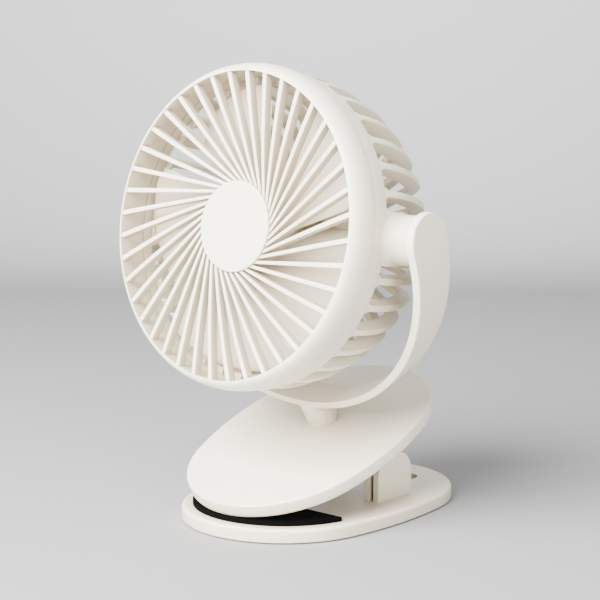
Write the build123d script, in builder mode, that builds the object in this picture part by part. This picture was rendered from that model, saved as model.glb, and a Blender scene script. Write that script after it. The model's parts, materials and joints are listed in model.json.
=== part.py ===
from build123d import *
from math import acos, cos, degrees, hypot, pi, radians, sin, sqrt
import os

# Clip fan: a round fan head tilts in a U yoke, the yoke swivels on a post, and the post stands
# on the upper jaw of a sprung clip whose lower jaw is the base.
# Millimetres and degrees. The origin is on the floor under the middle of the base, +Z is up,
# the fan faces -Y and +X is to the right of someone who looks at its front.

# ---------------------------------------------------------------- fits
shaft_fit = 0.05  # radial running clearance of a pin or shaft in its bore
press_gap = 0.02  # radial clearance of a piece that is held tight in its hole
seam_gap = 0.15  # between moulded pieces that close against each other
turning_gap = 0.15  # between flat faces that slide past each other

# ---------------------------------------------------------------- base, the lower jaw
base_length = 138.0
base_width = 94.8
base_end_radius = 45.4
base_lift = 0.5  # the shell stands this far above the floor, on the foot pad
base_height = 6.4  # top face above the floor
base_top_wall = 2.2
base_side_wall = 2.2
base_top_round = 1.6
base_bottom_round = 0.5
base_cover_thickness = 2.1
foot_pad_inset = 7.0
foot_pad_thickness = 1.1
hanging_slot_length = 37.0
hanging_slot_width = 13.0
hanging_slot_inset = 22.3  # from the rear end of the base to the middle of the slot
hanging_slot_wall = 1.6
foot_pad_slot_margin = 1.5  # rubber stays this far from the slot's wall
base_screw_side_inset = 16.0
base_screw_front_inset = 32.5
base_screw_rear_inset = 46.5
base_boss_radius = 3.0

# ---------------------------------------------------------------- rubber pads of the jaws
lower_pad_inset = 4.8
lower_pad_thickness = 1.9
lower_pad_length = 31.5  # from its tip to its straight rear edge
upper_pad_inset = 9.0
upper_pad_recess = 0.6
upper_pad_proud = 0.6
upper_pad_rear = -24.0  # rear edge, along the upper jaw from its middle

# ---------------------------------------------------------------- hinge of the clip
hinge_y = 12.3
hinge_z = 16.3
hinge_pin_radius = 2.0
cheek_half_width = 11.8
cheek_rise = 10.0  # top of a cheek above the pin
cheek_top_round = 9.0
cheek_thickness = 2.8
outer_cheek_face = 33.0  # outer side of the outer cheek, from the middle plane
inner_cheek_face = 27.9  # side of the inner cheek that faces the outer cheek
cheek_blind_wall = 0.8  # plastic left outside the blind end of the pin's bore
jaw_ear_radius = 7.5
jaw_ear_root = 13.0  # half width of an ear where it leaves the upper jaw

# ---------------------------------------------------------------- spring of the clip
spring_wire = 1.8
spring_radius = 4.8  # to the middle of the wire
spring_pitch = 3.0
spring_turns = 4
spring_end_gap = 0.1  # between the wire's end and the upper jaw

# ---------------------------------------------------------------- upper jaw
jaw_length = 125.0
jaw_width = 93.5
jaw_end_radius = 44.6
jaw_tilt = 20.0
jaw_centre_y = -6.7
jaw_centre_z = 35.35
jaw_height = 6.0
jaw_top_wall = 2.0
jaw_side_wall = 2.0
jaw_top_round = 1.8
jaw_bottom_round = 0.8
jaw_liner_thickness = 1.6
jaw_screw_side_inset = 12.0
jaw_screw_front_inset = 41.5
jaw_screw_rear_inset = 37.5
jaw_boss_radius = 2.8

# ---------------------------------------------------------------- screws that close the casings
screw_radius = 1.0
screw_head_radius = 2.0
screw_head_height = 0.8
screw_length = 3.4

# ---------------------------------------------------------------- swivel post
post_place = 9.2  # along the upper jaw, behind its middle
post_height = 9.45
post_top_radius = 8.3
post_bottom_radius = 6.6
post_bore_depth = 6.6
post_counterbore_radius = 5.3
post_flange_radius = 11.0
post_flange_thickness = 2.2
stub_radius = 3.5
swivel_washer_radius = 5.0
swivel_washer_thickness = 0.8
swivel_screw_radius = 1.2
swivel_screw_head_radius = 2.6
swivel_screw_head_height = 1.6
swivel_screw_grip = 3.0  # thread inside the yoke above the post

# ---------------------------------------------------------------- yoke
yoke_outer_radius = 81.7
yoke_thickness = 3.2
yoke_end_radius = 11.9  # half width of the band at the pivots
yoke_low_half_width = 8.1  # half width of the band under the head
yoke_edge_round = 0.7
yoke_boss_radius = 8.4
yoke_boss_height = 1.5
yoke_face_margin = 0.5

# ---------------------------------------------------------------- pivots of the head
head_tilt = 8.2  # the head looks up by this much
pivot_boss_radius = 10.2
pivot_root_radius = 12.0
pivot_root_height = 1.8
pivot_root_reach = 68.0  # foot of the boss, from the middle plane
pivot_block_reach = 63.5
pivot_pin_radius = 4.0
pivot_pin_length = 2.2
pivot_bore_depth = 2.4
pivot_washer_radius = 7.6
pivot_washer_inner_radius = 4.4
pivot_washer_thickness = 0.9
pivot_washer_seat = 0.8

# ---------------------------------------------------------------- head, front ring and grille
opening_radius = 64.0
opening_forward = 29.8  # grille opening plane ahead of the pivots
ring_width = 4.2
ring_nose_depth = 9.0
ring_depth = 10.5
ring_spigot_depth = 14.0
ring_spigot_wall = 1.4
ring_draft = 0.5  # the ring opens by this much behind its nose
ring_groove_width = 1.0
ring_groove_depth = 5.5
spoke_count = 40
spoke_width = 2.1
spoke_depth = 4.0
spoke_offset = 14.5  # every spoke's line passes the axis at this distance
spoke_phase = 2.1  # outer end of the first spoke, clockwise from the top
spoke_rim_set = 0.4
spoke_middle_set = 1.7
spoke_hub_set = 4.5
grille_hub_radius = 19.2
grille_hub_set = 5.2
grille_cap_set = 4.0
grille_cap_round = 0.3

# ---------------------------------------------------------------- head, rear cover
band_depth = 19.4
band_setback = 0.2  # of the band's front edge from the ring
band_draft = 0.5
bowl_middle_set = 1.9  # the bowl lies this far inside the band's rear edge
bowl_middle_depth = 39.5
bowl_shoulder_set = 8.1
bowl_shoulder_depth = 56.0
bowl_back_set = 17.4
bowl_corner_radius = 12.0
bowl_depth = 63.0
fin_count = 36
fin_phase = 4.7
fin_thickness = 3.0
fin_depth = 6.0
cup_radius = 26.0
cup_wall = 2.0
cup_front_depth = 32.0
cup_floor = 2.0
block_half_angle = 9.3  # plain wall on each side of a pivot boss
block_depth = 42.0
lip_thickness = 0.6
lip_length = 3.0

# ---------------------------------------------------------------- impeller and motor
blade_count = 5
blade_phase = 48.0  # middle of the first blade, clockwise from the top
blade_tip_gap = 4.0  # inside the grille's opening
blade_half_angle = 30.5
blade_root_half_width = 8.0
blade_corner_round = 9.0
blade_root_distance = 12.0
blade_outer_distance = 61.0
blade_root_half_chord = 9.0
blade_outer_half_chord = 33.0
blade_root_front = 15.0
blade_root_rear = 26.0
blade_outer_front = 10.8
blade_outer_rear = 29.5
blade_camber = 0.08  # bow of a blade for each unit of its half chord
blade_thickness = 1.6
impeller_hub_radius = 17.0
impeller_hub_wall = 1.8
impeller_hub_front = 10.6
impeller_hub_rear = 28.6
impeller_hub_round = 1.5
impeller_core_radius = 3.4
shaft_bite = 0.9  # depth of the shaft in the hub's front wall
shaft_radius = 1.5
tower_radius = 4.4
tower_front_depth = 15.5
bush_radius = 2.9
rotor_ring_wall = 2.2
rotor_ring_front = 13.4
rotor_ring_rear = 26.0
stator_radius = 12.0
stator_slots = 6
stator_slot_circle = 9.2
stator_slot_radius = 2.0
stator_front = 16.0
stator_rear = 25.0

# ---------------------------------------------------------------- electronics in the rear cup
post_circle_radius = 20.0
cup_post_radius = 3.3
cap_boss_radius = 2.6
cup_posts = 3
cup_post_hole_depth = 4.4
battery_width = 27.0
battery_height = 28.0
battery_thickness = 9.0
battery_round = 1.5
chip_size = (9.0, 7.0)
chip_height = 1.0
chip_place = (2.0, -3.0)
led_size = (3.0, 1.6)
led_height = 1.0
board_depth = 50.0
board_thickness = 1.2
board_radius = 22.4
switch_side = 6.0
switch_height = 3.6
switch_plunger_radius = 1.7
switch_plunger_height = 1.2
socket_width = 9.0
socket_height = 3.3
socket_wall = 0.4
socket_place = -15.0
socket_mouth_depth = 6.5
socket_tongue_width = 6.6
socket_tongue_height = 0.7
socket_tongue_set = 1.0
port_inset = 0.2
rear_cap_thickness = 2.0
cap_ledge_width = 1.2
button_radius = 5.6
button_clearance = 0.3
button_proud = 0.9
button_flange_radius = 7.2
button_flange_thickness = 1.0
button_travel = 0.8
button_round = 0.5
button_rest_gap = 0.1
lens_width = 8.0
lens_height = 1.6
lens_place = 12.0
cap_screw_radius = 0.9
cap_screw_head_radius = 1.8
cap_screw_head_height = 1.0
cap_screw_length = 16.0

# ---------------------------------------------------------------- planes and shared places
hanging_slot_y = base_length / 2 - hanging_slot_inset
lower_pad_rear_y = lower_pad_inset + lower_pad_length - base_length / 2
base_screw_places = [
    (side * (base_width / 2 - base_screw_side_inset), y)
    for side in (1, -1)
    for y in (base_screw_front_inset - base_length / 2, base_length / 2 - base_screw_rear_inset)
]
jaw_screw_places = [
    (side * (jaw_width / 2 - jaw_screw_side_inset), y)
    for side in (1, -1)
    for y in (jaw_screw_front_inset - jaw_length / 2, jaw_length / 2 - jaw_screw_rear_inset)
]
ring_radius = opening_radius + ring_width
ring_inner_radius = opening_radius + ring_draft
band_radius = ring_radius - band_setback
band_rear_radius = band_radius - band_draft
bowl_middle_radius = band_rear_radius - bowl_middle_set
bowl_shoulder_radius = band_rear_radius - bowl_shoulder_set
bowl_back_radius = band_rear_radius - bowl_back_set
blade_tip_radius = opening_radius - blade_tip_gap
jaw_plane = Plane(
    origin=(0, jaw_centre_y, jaw_centre_z),
    x_dir=(1, 0, 0),
    z_dir=(0, -sin(radians(jaw_tilt)), cos(radians(jaw_tilt))),
)
jaw_up = Axis(jaw_plane.origin, jaw_plane.z_dir)
post_plane = Plane(
    origin=jaw_plane.from_local_coords((0, post_place, 0)),
    x_dir=jaw_plane.x_dir,
    z_dir=jaw_plane.z_dir,
)
yoke_lowest = post_height + turning_gap + yoke_boss_height
pivot = post_plane.from_local_coords((0, 0, yoke_lowest + yoke_outer_radius))
yoke_front = Plane(origin=pivot, x_dir=(1, 0, 0), z_dir=-jaw_plane.y_dir)
yoke_side = Plane(origin=pivot, x_dir=jaw_plane.y_dir, z_dir=(1, 0, 0))
yoke_inner_radius = yoke_outer_radius - yoke_thickness
head_plane = Plane(
    origin=pivot,
    x_dir=(1, 0, 0),
    z_dir=(0, -cos(radians(head_tilt)), sin(radians(head_tilt))),
)
head_axis = Axis(pivot, head_plane.z_dir)
pivot_face = yoke_inner_radius - turning_gap
pivot_washer_foot = pivot_face - pivot_washer_seat


def oval(length, width, end_radius):
    """Fill the current sketch with an oval of four tangent arcs, long in its local Y."""
    end_centre = length / 2 - end_radius
    bulge = width / 2 - end_radius
    side_centre = (end_centre**2 - bulge**2) / (2 * bulge)
    reach = end_radius / hypot(side_centre, end_centre)
    join_x = side_centre * reach
    join_y = end_centre * (1 + reach)
    with BuildLine() as outline:
        ThreePointArc((join_x, -join_y), (width / 2, 0), (join_x, join_y))
        ThreePointArc((join_x, join_y), (0, length / 2), (-join_x, join_y))
        ThreePointArc((-join_x, join_y), (-width / 2, 0), (-join_x, -join_y))
        ThreePointArc((-join_x, -join_y), (0, -length / 2), (join_x, -join_y))
    make_face(outline.edges())


def base_oval(inset):
    """The base's outline, drawn in by inset all round."""
    oval(base_length - 2 * inset, base_width - 2 * inset, base_end_radius - inset)


def jaw_oval(inset):
    """The upper jaw's outline, drawn in by inset all round."""
    oval(jaw_length - 2 * inset, jaw_width - 2 * inset, jaw_end_radius - inset)


def keep_front(rear_edge, length, width):
    """Cut the current sketch off behind rear_edge, for a D-shaped pad."""
    with Locations((0, rear_edge - length / 2)):
        Rectangle(width, length, mode=Mode.INTERSECT)


def meridian(angle):
    """Plane through the head's axis, angle clockwise from the top: x is radius, y is forward."""
    turn = radians(angle)
    radial = head_plane.x_dir * sin(turn) + head_plane.y_dir * cos(turn)
    return Plane(origin=pivot, x_dir=radial, z_dir=radial.cross(head_plane.z_dir))


def head_at(depth):
    """Plane across the head's axis at a depth behind the grille opening, facing forward."""
    return head_plane.offset(opening_forward - depth)


def rim(radius, depth):
    """A point of a profile of the head: radius, and depth behind the grille opening."""
    return (radius, opening_forward - depth)


def revolve_profile(points, mode=Mode.ADD):
    """Revolve a closed polygon of profile points about the head's axis."""
    with BuildSketch(meridian(90)) as profile:
        with BuildLine():
            Polyline(*points, close=True)
        make_face()
    revolve(profile.sketch, axis=head_axis, mode=mode)


def head_disc(radius, front, rear, mode=Mode.ADD):
    """A disc on the head's axis between two depths."""
    with BuildSketch(head_at(rear)) as disc:
        Circle(radius)
    extrude(disc.sketch, amount=rear - front, mode=mode)


# ---------------------------------------------------------------- base
slot_outer_width = hanging_slot_width + 2 * hanging_slot_wall
slot_outer_length = hanging_slot_length + 2 * hanging_slot_wall
base_cavity_top = base_height - base_top_wall
base_cover_top = base_lift + base_cover_thickness
cheek_starts = [
    inner_cheek_face - cheek_thickness,
    outer_cheek_face - cheek_thickness,
    -inner_cheek_face,
    -outer_cheek_face,
]

with BuildPart() as base_shell:
    with BuildSketch(Plane.XY.offset(base_lift)):
        base_oval(0)
    extrude(amount=base_height - base_lift)
    fillet(base_shell.edges().group_by(Axis.Z)[-1], base_top_round)
    fillet(base_shell.edges().group_by(Axis.Z)[0], base_bottom_round)
    with BuildSketch(Plane.XY.offset(base_lift)):
        base_oval(base_side_wall)
    extrude(amount=base_cavity_top - base_lift, mode=Mode.SUBTRACT)
    # wall of the hanging slot and bosses for the cover's screws
    with BuildSketch(Plane.XY.offset(base_lift)):
        with Locations((0, hanging_slot_y)):
            SlotOverall(slot_outer_length, slot_outer_width)
    extrude(amount=base_height - base_lift)
    with BuildSketch(Plane.XY.offset(base_cover_top)):
        with Locations(*base_screw_places):
            Circle(base_boss_radius)
    extrude(amount=base_cavity_top - base_cover_top)
    with BuildSketch(Plane.XY.offset(base_lift)):
        with Locations((0, hanging_slot_y)):
            SlotOverall(hanging_slot_length, hanging_slot_width)
    extrude(amount=base_height, mode=Mode.SUBTRACT)
    # two pairs of cheeks carry the hinge pin
    cheek_top = hinge_z + cheek_rise
    with BuildSketch(*[Plane.YZ.offset(start) for start in cheek_starts]) as cheek_outline:
        with Locations((hinge_y, (cheek_top + base_cavity_top) / 2)):
            Rectangle(2 * cheek_half_width, cheek_top - base_cavity_top)
        fillet(cheek_outline.vertices().group_by(Axis.Y)[-1], cheek_top_round)
    extrude(amount=cheek_thickness)
    pin_span = 2 * outer_cheek_face - cheek_blind_wall
    with BuildSketch(Plane.YZ.offset(-outer_cheek_face)):
        with Locations((hinge_y, hinge_z)):
            Circle(hinge_pin_radius + press_gap)
    extrude(amount=pin_span, mode=Mode.SUBTRACT)
    screw_top = foot_pad_thickness + screw_head_height + screw_length
    with BuildSketch(Plane.XY.offset(base_cover_top)):
        with Locations(*base_screw_places):
            Circle(screw_radius + press_gap)
    extrude(amount=screw_top - base_cover_top, mode=Mode.SUBTRACT)

with BuildPart() as base_cover:
    with BuildSketch(Plane.XY.offset(base_lift)):
        base_oval(base_side_wall + seam_gap)
        with Locations((0, hanging_slot_y)):
            SlotOverall(
                slot_outer_length + 2 * seam_gap, slot_outer_width + 2 * seam_gap, mode=Mode.SUBTRACT
            )
    extrude(amount=base_cover_thickness)
    with BuildSketch(Plane.XY.offset(base_lift)):
        base_oval(foot_pad_inset - seam_gap)
    extrude(amount=foot_pad_thickness - base_lift, mode=Mode.SUBTRACT)
    with BuildSketch(Plane.XY.offset(foot_pad_thickness)):
        with Locations(*base_screw_places):
            Circle(screw_head_radius + press_gap)
    extrude(amount=screw_head_height, mode=Mode.SUBTRACT)
    with BuildSketch(Plane.XY.offset(foot_pad_thickness)):
        with Locations(*base_screw_places):
            Circle(screw_radius + press_gap)
    extrude(amount=base_cover_thickness, mode=Mode.SUBTRACT)

with BuildPart() as foot_pad:
    with BuildSketch(Plane.XY):
        base_oval(foot_pad_inset)
        with Locations((0, hanging_slot_y)):
            SlotOverall(
                slot_outer_length + 2 * foot_pad_slot_margin,
                slot_outer_width + 2 * foot_pad_slot_margin,
                mode=Mode.SUBTRACT,
            )
    extrude(amount=foot_pad_thickness)

with BuildPart() as base_screws:
    with BuildSketch(Plane.XY.offset(foot_pad_thickness)):
        with Locations(*base_screw_places):
            Circle(screw_head_radius)
    extrude(amount=screw_head_height)
    with BuildSketch(Plane.XY.offset(foot_pad_thickness + screw_head_height)):
        with Locations(*base_screw_places):
            Circle(screw_radius)
    extrude(amount=screw_length)

with BuildPart() as lower_jaw_pad:
    with BuildSketch(Plane.XY.offset(base_height)):
        base_oval(lower_pad_inset)
        keep_front(lower_pad_rear_y, base_length, base_width)
    extrude(amount=lower_pad_thickness)

with BuildPart() as hinge_pin:
    with BuildSketch(Plane.YZ.offset(-outer_cheek_face)):
        with Locations((hinge_y, hinge_z)):
            Circle(hinge_pin_radius)
    extrude(amount=pin_span - seam_gap)

# ---------------------------------------------------------------- spring
# The wire rises square from the base, winds round the pin and ends square under the upper jaw.
pin_in_jaw = jaw_plane.to_local_coords(Vector(0, hinge_y, hinge_z))
pin_to_jaw = -jaw_height - pin_in_jaw.Z
spring_span = spring_pitch * (spring_turns + jaw_tilt / 360)


def spring_point(turn_degrees):
    """A point on the middle of the wire, after so many degrees of winding."""
    turn = radians(turn_degrees)
    along = spring_pitch * turn_degrees / 360 - spring_span / 2
    return Vector(along, hinge_y + spring_radius * cos(turn), hinge_z + spring_radius * sin(turn))


def spring_heading(turn_degrees, rise):
    """The wire's direction there, with its rise along the pin for each radian."""
    turn = radians(turn_degrees)
    return Vector(rise, -spring_radius * sin(turn), spring_radius * cos(turn)).normalized()


def biarc(start, start_heading, end, end_heading):
    """Two tangent arcs from start to end with the given headings."""
    chord = end - start
    total = start_heading + end_heading
    slack = 2 * (1 - start_heading.dot(end_heading))
    lead = (sqrt(chord.dot(total) ** 2 + slack * chord.dot(chord)) - chord.dot(total)) / slack
    middle = (start + start_heading * lead + end - end_heading * lead) * 0.5
    TangentArc(start, middle, tangent=start_heading)
    TangentArc(end, middle, tangent=-end_heading)


last_turn = 360 * spring_turns + jaw_tilt
stations = [180 * half for half in range(2 * spring_turns + 1)] + [last_turn]
headings = [spring_heading(station, spring_pitch / (2 * pi)) for station in stations]
headings[0] = spring_heading(0, 0)
headings[-1] = spring_heading(last_turn, 0)
spring_foot = spring_point(0) - Vector(0, 0, hinge_z - base_height)
spring_tip = spring_point(last_turn) + jaw_plane.z_dir * (pin_to_jaw - spring_end_gap)

with BuildPart() as clip_spring:
    with BuildLine() as wire_path:
        Line(spring_foot, spring_point(0))
        for index in range(len(stations) - 1):
            biarc(
                spring_point(stations[index]),
                headings[index],
                spring_point(stations[index + 1]),
                headings[index + 1],
            )
        Line(spring_point(last_turn), spring_tip)
    with BuildSketch(Plane(origin=spring_foot, z_dir=(0, 0, 1))):
        Circle(spring_wire / 2)
    sweep(path=wire_path.wires()[0])

# least gap of the wire to itself, between places further apart along it than three wires
wire = wire_path.wires()[0]
wire_samples = 400
wire_places = [wire.position_at(sample / wire_samples) for sample in range(wire_samples + 1)]
first_far = 1 + int(3 * spring_wire * wire_samples / wire.length)
closest = min(
    (wire_places[near] - wire_places[far]).length
    for near in range(wire_samples - first_far)
    for far in range(near + first_far, wire_samples + 1)
)
print(f"least gap of the spring's wire to itself: {closest - spring_wire:.2f} mm")

# ---------------------------------------------------------------- upper jaw
jaw_cavity_top = -jaw_top_wall
jaw_liner_top = -jaw_height + jaw_liner_thickness

with BuildPart() as jaw_cover:
    with BuildSketch(jaw_plane.offset(-jaw_height)):
        jaw_oval(0)
    extrude(amount=jaw_height)
    fillet(jaw_cover.edges().group_by(jaw_up)[-1], jaw_top_round)
    fillet(jaw_cover.edges().group_by(jaw_up)[0], jaw_bottom_round)
    with BuildSketch(jaw_plane.offset(-jaw_height)):
        jaw_oval(jaw_side_wall)
    extrude(amount=jaw_height - jaw_top_wall, mode=Mode.SUBTRACT)
    with BuildSketch(jaw_plane.offset(jaw_liner_top)):
        with Locations(*jaw_screw_places):
            Circle(jaw_boss_radius)
    extrude(amount=jaw_cavity_top - jaw_liner_top)
    with BuildSketch(post_plane.offset(jaw_cavity_top)):
        Circle(post_bottom_radius + press_gap)
    extrude(amount=jaw_top_wall, mode=Mode.SUBTRACT)
    with BuildSketch(jaw_plane.offset(jaw_liner_top)):
        with Locations(*jaw_screw_places):
            Circle(screw_radius + press_gap)
    extrude(amount=screw_length + screw_head_height - jaw_liner_thickness, mode=Mode.SUBTRACT)

ear_start = inner_cheek_face + turning_gap
ear_thickness = outer_cheek_face - cheek_thickness - inner_cheek_face - 2 * turning_gap
ear_planes = [
    Plane(origin=(start, hinge_y, hinge_z), x_dir=jaw_plane.y_dir, z_dir=(1, 0, 0))
    for start in (ear_start, -ear_start - ear_thickness)
]

with BuildPart() as jaw_liner:
    with BuildSketch(jaw_plane.offset(-jaw_height)):
        jaw_oval(jaw_side_wall + seam_gap)
    extrude(amount=jaw_liner_thickness)
    # ears that hang down between the base's cheeks
    with BuildSketch(*ear_planes):
        Circle(jaw_ear_radius)
        with BuildLine():
            Polyline(
                (-jaw_ear_radius, 0),
                (jaw_ear_radius, 0),
                (jaw_ear_root, pin_to_jaw + jaw_liner_thickness),
                (-jaw_ear_root, pin_to_jaw + jaw_liner_thickness),
                close=True,
            )
        make_face()
    extrude(amount=ear_thickness)
    with BuildSketch(*ear_planes):
        Circle(hinge_pin_radius + shaft_fit)
    extrude(amount=ear_thickness, mode=Mode.SUBTRACT)
    with BuildSketch(jaw_plane.offset(-jaw_height)):
        jaw_oval(upper_pad_inset - seam_gap)
        keep_front(upper_pad_rear + seam_gap, jaw_length, jaw_width)
    extrude(amount=upper_pad_recess, mode=Mode.SUBTRACT)
    with BuildSketch(jaw_plane.offset(-jaw_height)):
        with Locations(*jaw_screw_places):
            Circle(screw_head_radius + press_gap)
    extrude(amount=screw_head_height, mode=Mode.SUBTRACT)
    with BuildSketch(jaw_plane.offset(-jaw_height)):
        with Locations(*jaw_screw_places):
            Circle(screw_radius + press_gap)
    extrude(amount=jaw_liner_thickness, mode=Mode.SUBTRACT)

with BuildPart() as upper_jaw_pad:
    with BuildSketch(jaw_plane.offset(-jaw_height - upper_pad_proud)):
        jaw_oval(upper_pad_inset)
        keep_front(upper_pad_rear, jaw_length, jaw_width)
    extrude(amount=upper_pad_recess + upper_pad_proud)

with BuildPart() as jaw_screws:
    with BuildSketch(jaw_plane.offset(-jaw_height)):
        with Locations(*jaw_screw_places):
            Circle(screw_head_radius)
    extrude(amount=screw_head_height)
    with BuildSketch(jaw_plane.offset(screw_head_height - jaw_height)):
        with Locations(*jaw_screw_places):
            Circle(screw_radius)
    extrude(amount=screw_length)

# ---------------------------------------------------------------- swivel post
post_shoulder = post_height - post_bore_depth

with BuildPart() as swivel_post:
    with BuildSketch(Plane(origin=post_plane.origin, x_dir=(1, 0, 0), z_dir=-jaw_plane.y_dir)):
        with BuildLine():
            Polyline(
                (stub_radius + shaft_fit, post_height),
                (post_top_radius, post_height),
                (post_bottom_radius, 0),
                (post_bottom_radius, jaw_cavity_top),
                (post_flange_radius, jaw_cavity_top),
                (post_flange_radius, jaw_cavity_top - post_flange_thickness),
                (post_counterbore_radius, jaw_cavity_top - post_flange_thickness),
                (post_counterbore_radius, post_shoulder),
                (stub_radius + shaft_fit, post_shoulder),
                close=True,
            )
        make_face()
    revolve(axis=Axis(post_plane.origin, post_plane.z_dir))

# ---------------------------------------------------------------- yoke
stub_end = post_shoulder - turning_gap
yoke_underside = post_height + turning_gap
yoke_screw_top = yoke_underside + swivel_screw_grip


def on_outside(edge):
    """Whether an edge runs along the outer face of the band, not across it."""
    place = yoke_front.to_local_coords(edge @ 0.5)
    reach = abs(place.X) if place.Y > 0 else hypot(place.X, place.Y)
    along = place.Y > yoke_end_radius / 2 or abs(place.Z) > yoke_low_half_width / 2
    return along and reach > yoke_outer_radius - yoke_edge_round / 2


with BuildPart() as yoke:
    # the band: a half ring under the head with two straight ends that rise past the pivots
    with BuildSketch(yoke_front):
        Circle(yoke_outer_radius)
        with Locations((0, yoke_end_radius)):
            Rectangle(2 * yoke_outer_radius, 2 * yoke_end_radius)
        Circle(yoke_inner_radius, mode=Mode.SUBTRACT)
        with Locations((0, yoke_outer_radius / 2)):
            Rectangle(2 * yoke_inner_radius, yoke_outer_radius, mode=Mode.SUBTRACT)
        with Locations((0, yoke_end_radius + yoke_outer_radius / 2)):
            Rectangle(2 * yoke_outer_radius, yoke_outer_radius, mode=Mode.SUBTRACT)
    extrude(amount=yoke_end_radius, both=True)
    # its outline from the side: round ends, and a taper down to the narrow low part
    with BuildSketch(yoke_side):
        with BuildLine():
            CenterArc((0, 0), yoke_end_radius, 0, 360)
            CenterArc((0, -yoke_outer_radius), yoke_low_half_width, 0, 360)
        make_hull()
    extrude(amount=yoke_outer_radius, both=True, mode=Mode.INTERSECT)
    fillet(yoke.edges().filter_by(on_outside), yoke_edge_round)
    with BuildSketch(post_plane.offset(yoke_underside)):
        Circle(yoke_boss_radius)
    extrude(amount=yoke_boss_height + yoke_thickness / 2)
    with BuildSketch(post_plane.offset(stub_end)):
        Circle(stub_radius)
    extrude(amount=yoke_underside - stub_end)
    with BuildSketch(post_plane.offset(stub_end)):
        Circle(swivel_screw_radius + press_gap)
    extrude(amount=yoke_screw_top - stub_end, mode=Mode.SUBTRACT)
    # flat faces for the head's pivot bosses, and blind bores that its pins turn in
    with BuildSketch(yoke_side):
        Circle(pivot_boss_radius + yoke_face_margin)
    extrude(amount=yoke_inner_radius, both=True, mode=Mode.SUBTRACT)
    with BuildSketch(yoke_side):
        Circle(pivot_pin_radius + shaft_fit)
    extrude(amount=yoke_inner_radius + pivot_bore_depth, both=True, mode=Mode.SUBTRACT)

with BuildPart() as swivel_washer:
    with BuildSketch(post_plane.offset(stub_end - swivel_washer_thickness)):
        Circle(swivel_washer_radius)
        Circle(swivel_screw_radius + press_gap, mode=Mode.SUBTRACT)
    extrude(amount=swivel_washer_thickness)

swivel_head_top = stub_end - swivel_washer_thickness

with BuildPart() as swivel_screw:
    with BuildSketch(post_plane.offset(swivel_head_top - swivel_screw_head_height)):
        Circle(swivel_screw_head_radius)
    extrude(amount=swivel_screw_head_height)
    with BuildSketch(post_plane.offset(swivel_head_top)):
        Circle(swivel_screw_radius)
    extrude(amount=yoke_screw_top - swivel_head_top)

# ---------------------------------------------------------------- front grille
spigot_radius = ring_inner_radius + ring_spigot_wall
groove_radius = spigot_radius + ring_groove_width


def spoke_plane(number):
    """Plane along one spoke: x runs outward along it, y is forward, z is its width."""
    outer_angle = spoke_phase + 360 / spoke_count * number
    foot_angle = radians(outer_angle + degrees(acos(spoke_offset / opening_radius)))
    sideways = head_plane.x_dir * sin(foot_angle) + head_plane.y_dir * cos(foot_angle)
    along = head_plane.y_dir * sin(foot_angle) - head_plane.x_dir * cos(foot_angle)
    return Plane(
        origin=pivot + sideways * spoke_offset, x_dir=along, z_dir=along.cross(head_plane.z_dir)
    )


def spoke_reach(radius):
    """How far along a spoke's line it meets a radius about the axis."""
    return sqrt(radius**2 - spoke_offset**2)


spoke_outer = spoke_reach(ring_inner_radius)
spoke_inner = spoke_reach(grille_hub_radius - 1)

with BuildPart() as front_grille:
    with BuildSketch(meridian(90)):
        with BuildLine():
            EllipticalCenterArc(
                rim(opening_radius, ring_nose_depth),
                ring_radius - opening_radius,
                ring_nose_depth,
                start_angle=0,
                arc_size=90,
            )
            Polyline(
                rim(ring_radius, ring_nose_depth),
                rim(ring_radius, ring_depth),
                rim(groove_radius, ring_depth),
                rim(groove_radius, ring_depth - ring_groove_depth),
                rim(spigot_radius, ring_depth - ring_groove_depth),
                rim(spigot_radius, ring_spigot_depth),
                rim(ring_inner_radius, ring_spigot_depth),
                rim(ring_inner_radius, ring_nose_depth),
                rim(opening_radius, 0),
            )
        make_face()
    revolve(axis=head_axis)
    with BuildSketch(*[spoke_plane(number) for number in range(spoke_count)]):
        with BuildLine():
            ThreePointArc(
                rim(spoke_inner, spoke_hub_set),
                rim((spoke_inner + spoke_outer) / 2, spoke_middle_set),
                rim(spoke_outer, spoke_rim_set),
            )
            Polyline(
                rim(spoke_outer, spoke_rim_set),
                rim(spoke_outer, spoke_rim_set + spoke_depth),
                rim(spoke_inner, spoke_hub_set + spoke_depth),
                rim(spoke_inner, spoke_hub_set),
            )
        make_face()
    extrude(amount=spoke_width / 2, both=True)
    head_disc(grille_hub_radius, grille_hub_set, spoke_hub_set + spoke_depth)
    head_disc(grille_hub_radius, 0, grille_hub_set, mode=Mode.SUBTRACT)

with BuildPart() as grille_cap:
    head_disc(grille_hub_radius - seam_gap, grille_cap_set, grille_hub_set)
    fillet(grille_cap.edges().group_by(head_axis)[-1], grille_cap_round)

# ---------------------------------------------------------------- rear cover
cup_inner_radius = cup_radius - cup_wall
cup_floor_depth = cup_front_depth + cup_floor
cap_front_depth = bowl_depth - rear_cap_thickness
lip_radius = spigot_radius + (ring_groove_width - lip_thickness) / 2
band_inner_radius = spigot_radius + seam_gap
band_step_depth = ring_spigot_depth + seam_gap
block_starts = [90 - block_half_angle, 270 - block_half_angle]
pivot_planes = [
    Plane(origin=pivot, x_dir=(side, 0, 0), z_dir=(0, 0, 1)) for side in (1, -1)
]



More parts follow.
